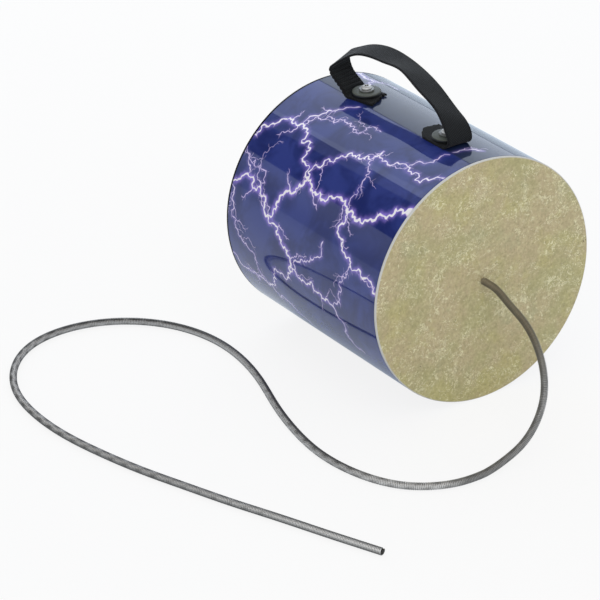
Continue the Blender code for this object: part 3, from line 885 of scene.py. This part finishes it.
# %% Lay the grid along them
ACROSS = 24
points = []
map_places = []
chance = random.Random(5)
shares = np.arange(ACROSS + 1) / ACROSS
ragged = []
for end in FOOT_PLACES:
    tufts = [chance.uniform(-0.0009, 0.0007) for _ in range(9)]
    ragged.append([tuft + chance.uniform(-0.0004, 0.0004) for tuft in tufts for _ in range(3)][:ACROSS + 1])
rear_cut, front_cut = np.array(ragged)
front_cut = front_cut - 0.0007 - 0.0062 * np.clip(0.36 - shares, 0, 1) / 0.36
rear_share = np.clip(1 - np.arange(len(stations)) / 8, 0, 1)
front_share = np.clip(1 - np.arange(len(stations))[::-1] / 14, 0, 1)
creased = np.clip((leg - 0.0015) / 0.003, 0, 1) * np.clip((0.0215 - leg) / 0.004, 0, 1)
wave = creased * np.sin(2 * math.pi * leg / 0.0027)
strap_ways = np.gradient(stations, axis=0)
for i in range(len(stations)):
    across = Vector(far[i] - near[i])
    off = Vector(strap_ways[i]).cross(across).normalized()
    for k, share in enumerate(shares):
        place = Vector(near[i]) + across * share * (1 + 0.028 * wave[i])
        place += off * 0.00055 * wave[i] * (0.6 + 0.4 * share)
        place.z -= bend[i] * (RADIUS - math.sqrt(RADIUS**2 - place.x**2))
        place -= Vector(rear_way) * (rear_cut[k] * rear_share[i])
        place += Vector(front_way) * (front_cut[k] * front_share[i])
        points.append(place)
        map_places.append(((k / ACROSS - 0.5) * STRAP_WIDTH, strap_marks[i]))
row = ACROSS + 1
faces = [(i * row + k, i * row + k + 1, (i + 1) * row + k + 1, (i + 1) * row + k)
         for i in range(len(stations) - 1) for k in range(ACROSS)]
strap = drawn("webbing_handle", points, [], faces)
weave_map = strap.data.uv_layers.new(name="weave")
for loop in strap.data.loops:
    weave_map.data[loop.index].uv = map_places[loop.vertex_index]
modify(strap, "SOLIDIFY", thickness=STRAP_THICKNESS, offset=0)
modify(strap, "BEVEL", width=0.00035, segments=2, angle_limit=math.radians(50))
bpy.ops.object.shade_smooth_by_angle(angle=math.radians(50))
print("strap faces:", len(strap.data.polygons))

# %% [markdown]
# ## Woven webbing
# Heavy webbing shows rows of small stitches, as its yarns pass over and under in
# turn. The strap's own map is in metres, so the weave is written in real sizes:
# yarns of nearly a millimetre, picks of a little more, every other column
# shifted by half a pick. The product of two waves is the height of each stitch.

# %% Finish the strap
webbing, tree, shader, where = finish("webbing")
cloth = parts_of(tree, add(tree, "UVMap", {"uv_map": "weave"}).outputs[0])
column = maths(tree, "DIVIDE", cloth["X"], 0.0009)
pick = maths(tree, "DIVIDE", cloth["Y"], 0.0012)
shift = times(tree, maths(tree, "MODULO", maths(tree, "FLOOR", column), 2), 0.5)
yarn = maths(tree, "ABSOLUTE", maths(tree, "SINE", times(tree, column, math.pi)))
over = maths(tree, "SINE", times(tree, maths(tree, "ADD", pick, shift), 2 * math.pi))
stitch = times(tree, yarn, maths(tree, "MULTIPLY_ADD", over, 0.5, 0.5))
dust = noise(tree, where, 900, 3, 0.7)
# The stitches are painted darker in the hollows between them and lighter on top: painted shade.
shade = mix(tree, ramp(tree, stitch, 0.05, 0.85), (0.004, 0.005, 0.006), (0.020, 0.023, 0.026))
rim = ramp(tree, maths(tree, "ABSOLUTE", cloth["X"]), 0.0072, 0.0084)
shade = mix(tree, ramp(tree, dust, 0.55, 0.8, 0, 0.3), shade, (0.040, 0.044, 0.050))
shade = mix(tree, times(tree, rim, 0.7), shade, (0.004, 0.004, 0.005))
height = maths(tree, "MULTIPLY_ADD", dust, 0.15, stitch)
fill(tree, shader, Base_Color=shade, Roughness=0.8, Specular_IOR_Level=0.3, Sheen_Weight=0.08,
     Sheen_Roughness=0.5, Normal=bumps(tree, height, 0.5, 0.0003))
wear(strap, webbing)
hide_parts("strap_handle")
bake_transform(strap)

# %% [markdown]
# ## Washers
# A big washer presses each foot of the strap flat, and a small bright one
# sits on it under the screw's head. A third lies inside the tube. Each is an
# outline spun once round, with softly rounded outer edges. The big ones are
# blackened and scuffed. Their tops are painted a lighter olive grey, a painted
# highlight from the light above, and their sides near-black, a painted shade.

# %% Turn the washers
CLAMP_SEAT = 0.15422
TRIM_SEAT = 0.15672
SCREW_SEAT = 0.15792
BACK_SEAT = 0.14691
olive, tree, shader, scuffed_lit_top = metal("olive_black", (0.125, 0.140, 0.118), (0.19, 0.205, 0.18),
                                      260, 0.45, 0.2, 0, 0.25)
high = parts_of(tree, add(tree, "TexCoord").outputs["Object"])["Z"]
# The top is painted a lighter olive grey and the rest near-black: painted highlight and painted shade.
lit_top_mask = ramp(tree, high, CLAMP_SEAT + 0.0013, CLAMP_SEAT + 0.0021)
fill(tree, shader, Base_Color=mix(tree, lit_top_mask, (0.012, 0.014, 0.014), scuffed_lit_top))
zinc = metal("zinc_plate", (0.38, 0.38, 0.37), (0.50, 0.50, 0.48), 350, 0.42, 0.2, 0.7)[0]
turns = [math.pi / 2 * i / 3 for i in range(4)]
for end, y in FOOT_PLACES.items():
    for name, node, radius, thickness, rounding, seat, material, slot in (
            ("black_washer_", "clamp_washer_", 0.00875, 0.0022, 0.0008, CLAMP_SEAT, olive, "olive_washer"),
            ("small_washer_", "trim_washer_", 0.0047, 0.0009, 0.0003, TRIM_SEAT, zinc, "zinc_plate"),
            ("inner_washer_", "back_washer_", 0.0060, 0.0010, 0.0003, BACK_SEAT, zinc, "zinc_plate")):
        low = [(radius - rounding + rounding * math.sin(t), rounding - rounding * math.cos(t)) for t in turns]
        high = [(radius - rounding + rounding * math.cos(t), thickness - rounding + rounding * math.sin(t))
                for t in turns]
        washer = turned(name + end, [(HOLE, 0)] + low + high + [(HOLE, thickness)], 64, (0, y, seat))
        wear(washer, material)
        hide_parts(node + end)
        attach(washer, "drum")

# %% [markdown]
# ## Screws with a cross recess
# Each screw is turned with its shank. Two short blades are then cut out of its
# head, which is easier than modelling the cross into a round head and leaves
# crisp edges. The ends of the cross are painted dark, a painted shade in the
# recess, so their points carry a mark that the finish darkens.

# %% Make the screws
steel, tree, shader, clean = metal("bright_steel", (0.94, 0.94, 0.93), (0.98, 0.98, 0.97),
                                   420, 0.40, 0.14, 0.35)
# The marked points of the recess are painted dark: painted shade.
fill(tree, shader, Base_Color=mix(tree, carried(tree, "recess"), clean, (0.015, 0.015, 0.014)))
SHANK_END = 0.14161
SHANK = 0.00175
SCREW_HEAD = 0.00305
DOME_FOOT = 0.0006
DOME_RISE = 0.0010
SCREW_TOP = 0.0016
BLADE = (0.0034, 0.00130, 0.0018)
tip = SHANK_END - SCREW_SEAT
outline = [(0, tip), (0.00150, tip), (SHANK, tip + 0.0006), (SHANK, 0), (SCREW_HEAD, 0)]
outline += [(SCREW_HEAD * math.cos(t), DOME_FOOT + DOME_RISE * math.sin(t))
            for t in np.linspace(0, math.pi / 2, 8)[:-1]]
outline.append((0, SCREW_TOP))
for end, y in FOOT_PLACES.items():
    screw = turned("strap_screw_head_" + end, outline, 48, (0, y, SCREW_SEAT))
    for turn in (0.2, math.pi / 2 + 0.2):
        bpy.ops.mesh.primitive_cube_add(size=1, location=(0, y, SCREW_SEAT + SCREW_TOP),
                                        rotation=(0, 0, turn), scale=BLADE)
        cut_out(screw, bpy.context.object)
    bpy.ops.object.shade_smooth_by_angle(angle=math.radians(30))
    recess = []
    for vertex in screw.data.vertices:
        reach = math.hypot(vertex.co.x, vertex.co.y - y)
        surface = SCREW_SEAT + DOME_FOOT + DOME_RISE * math.sqrt(max(0, 1 - (reach / SCREW_HEAD)**2))
        recess.append(0.0010 < reach < 0.0024 and 0.00008 < surface - vertex.co.z < 0.0015)
    carry(screw, recess=recess)
    wear(screw, steel)
    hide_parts("strap_screw_" + end)
    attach(screw, "drum")

# %% [markdown]
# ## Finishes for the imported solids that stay
# The head's ring, the nuts and the spring's fixing have the right shape
# already, so they only get better finishes. The ring is pale board.

# %% Finish the rest
ring_board, tree, shader, where = finish("ring_board")
fuzz = noise(tree, where, 600, 4, 0.7)
pale = mix(tree, ramp(tree, fuzz, 0.3, 0.7), (0.50, 0.47, 0.42), (0.64, 0.61, 0.55))
fill(tree, shader, Base_Color=pale, Roughness=0.7, Normal=bumps(tree, fuzz, 0.3, 0.0003))
wear(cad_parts["head_ring"], ring_board)
wear(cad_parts["anchor_washer"], zinc)
for name in ("anchor_screw", "strap_nut_rear", "strap_nut_front"):
    wear(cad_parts[name], steel)

# %% [markdown]
# ## The studio
# The floor is plain and white and keeps a soft shadow. For the camera, most of
# its light is its own white, so that the object stands on a clean ground. The
# sky is an even soft light for matte surfaces. What glossy surfaces see of it
# is a pale band near the horizon, dark above. A broad soft lamp and a narrow
# one stand behind the drum and give the film its long, sharp-edged bands. A
# third lights the head from the front.

# %% Floor and sky
def ray_kinds(tree):
    """Masks for the camera's own rays and for mirrored ones."""
    rays = add(tree, "LightPath").outputs
    return rays["Is Camera Ray"], maths(tree, "MAXIMUM", rays["Is Glossy Ray"], rays["Is Transmission Ray"])


bpy.context.scene.view_settings.view_transform = "Standard"
bpy.ops.mesh.primitive_plane_add(size=14, location=(0, 0, -0.0002))
ground = bpy.context.object
ground.name = "ground"
white_floor, tree, shader, floor_spot = finish("white_floor")
fill(tree, shader, Base_Color=(0.86, 0.86, 0.86, 1), Roughness=1, Specular_IOR_Level=0)
direct, mirrored = ray_kinds(tree)
# In mirrors the floor's own light is painted: bluish, weaker near the drum's left, stronger to its right, a
# painted reflection.
across = parts_of(tree, floor_spot)["X"]
painted_mirror_light = maths(tree, "ADD", ramp(tree, across, -0.40, -0.10, 0.56, 0.38),
             ramp(tree, across, 0, 0.15, 0, 0.55))
share = maths(tree, "MAXIMUM", times(tree, direct, 0.86), times(tree, mirrored, painted_mirror_light))
own = add(tree, "Emission", Color=mix(tree, mirrored, (1, 1, 1), (0.74, 0.86, 1)), Strength=1)
joined = add(tree, "MixShader", n0=share, n1=shader.outputs[0], n2=own.outputs[0])
fill(tree, tree.nodes["Material Output"], Surface=joined.outputs[0])
wear(ground, white_floor)

world = bpy.data.worlds.new("studio")
world.use_nodes = True
bpy.context.scene.world = world
tree = world.node_tree
tree.nodes.clear()
way = parts_of(tree, add(tree, "TexCoord").outputs["Generated"])
SKY_LIGHT = 0.55
band = ramp(tree, way["Z"], 0.335, 0.350, 1, 0.05)
band = times(tree, band, ramp(tree, way["Z"], 0.02, 0.30, 0.5, 0.85))
behind_lamp = times(tree, ramp(tree, way["X"], 0.02, 0.10), ramp(tree, way["Y"], 0.2, 0.3))
band = times(tree, band, maths(tree, "SUBTRACT", 1, behind_lamp))
direct, mirrored = ray_kinds(tree)
level = add(tree, "Mix", {"data_type": "FLOAT"}, n0=mirrored, n2=SKY_LIGHT, n3=band).outputs[0]
level = add(tree, "Mix", {"data_type": "FLOAT"}, n0=direct, n2=level, n3=1.0).outputs[0]
tint = mix(tree, mirrored, (1, 1, 1), (0.84, 0.92, 1))
add(tree, "OutputWorld", Surface=add(tree, "Background", Color=tint, Strength=level).outputs[0])

# %% Lamps
def lamp(name, azimuth, elevation, distance, width, height, brightness, tint=(1, 1, 1), moved=(0, 0)):
    """A soft rectangular lamp. Azimuth 0 is along +Y and turns to +X."""
    a, e = math.radians(azimuth), math.radians(elevation)
    way = Vector((math.sin(a) * math.cos(e), math.cos(a) * math.cos(e), math.sin(e)))
    turn = way.to_track_quat("Z", "Y")
    place = Vector((0, 0, AXIS_HEIGHT)) + way * distance + turn @ Vector((*moved, 0))
    bpy.ops.object.light_add(type="AREA", location=place, rotation=turn.to_euler())
    bpy.context.object.name = name
    put(bpy.context.object.data, shape="RECTANGLE", size=width, size_y=height, color=tint,
        energy=brightness * math.pi * width * height)


lamp("back_lamp", 16, 40, 1.7, 2.05, 2.0, 1.35, (0.78, 0.87, 1.0), moved=(-0.30, -0.35))
lamp("side_lamp", -17, 42, 1.7, 0.27, 1.0, 0.35, (0.80, 0.88, 1.0))
lamp("front_lamp", 200, 45, 2.2, 1.6, 1.6, 1.6)
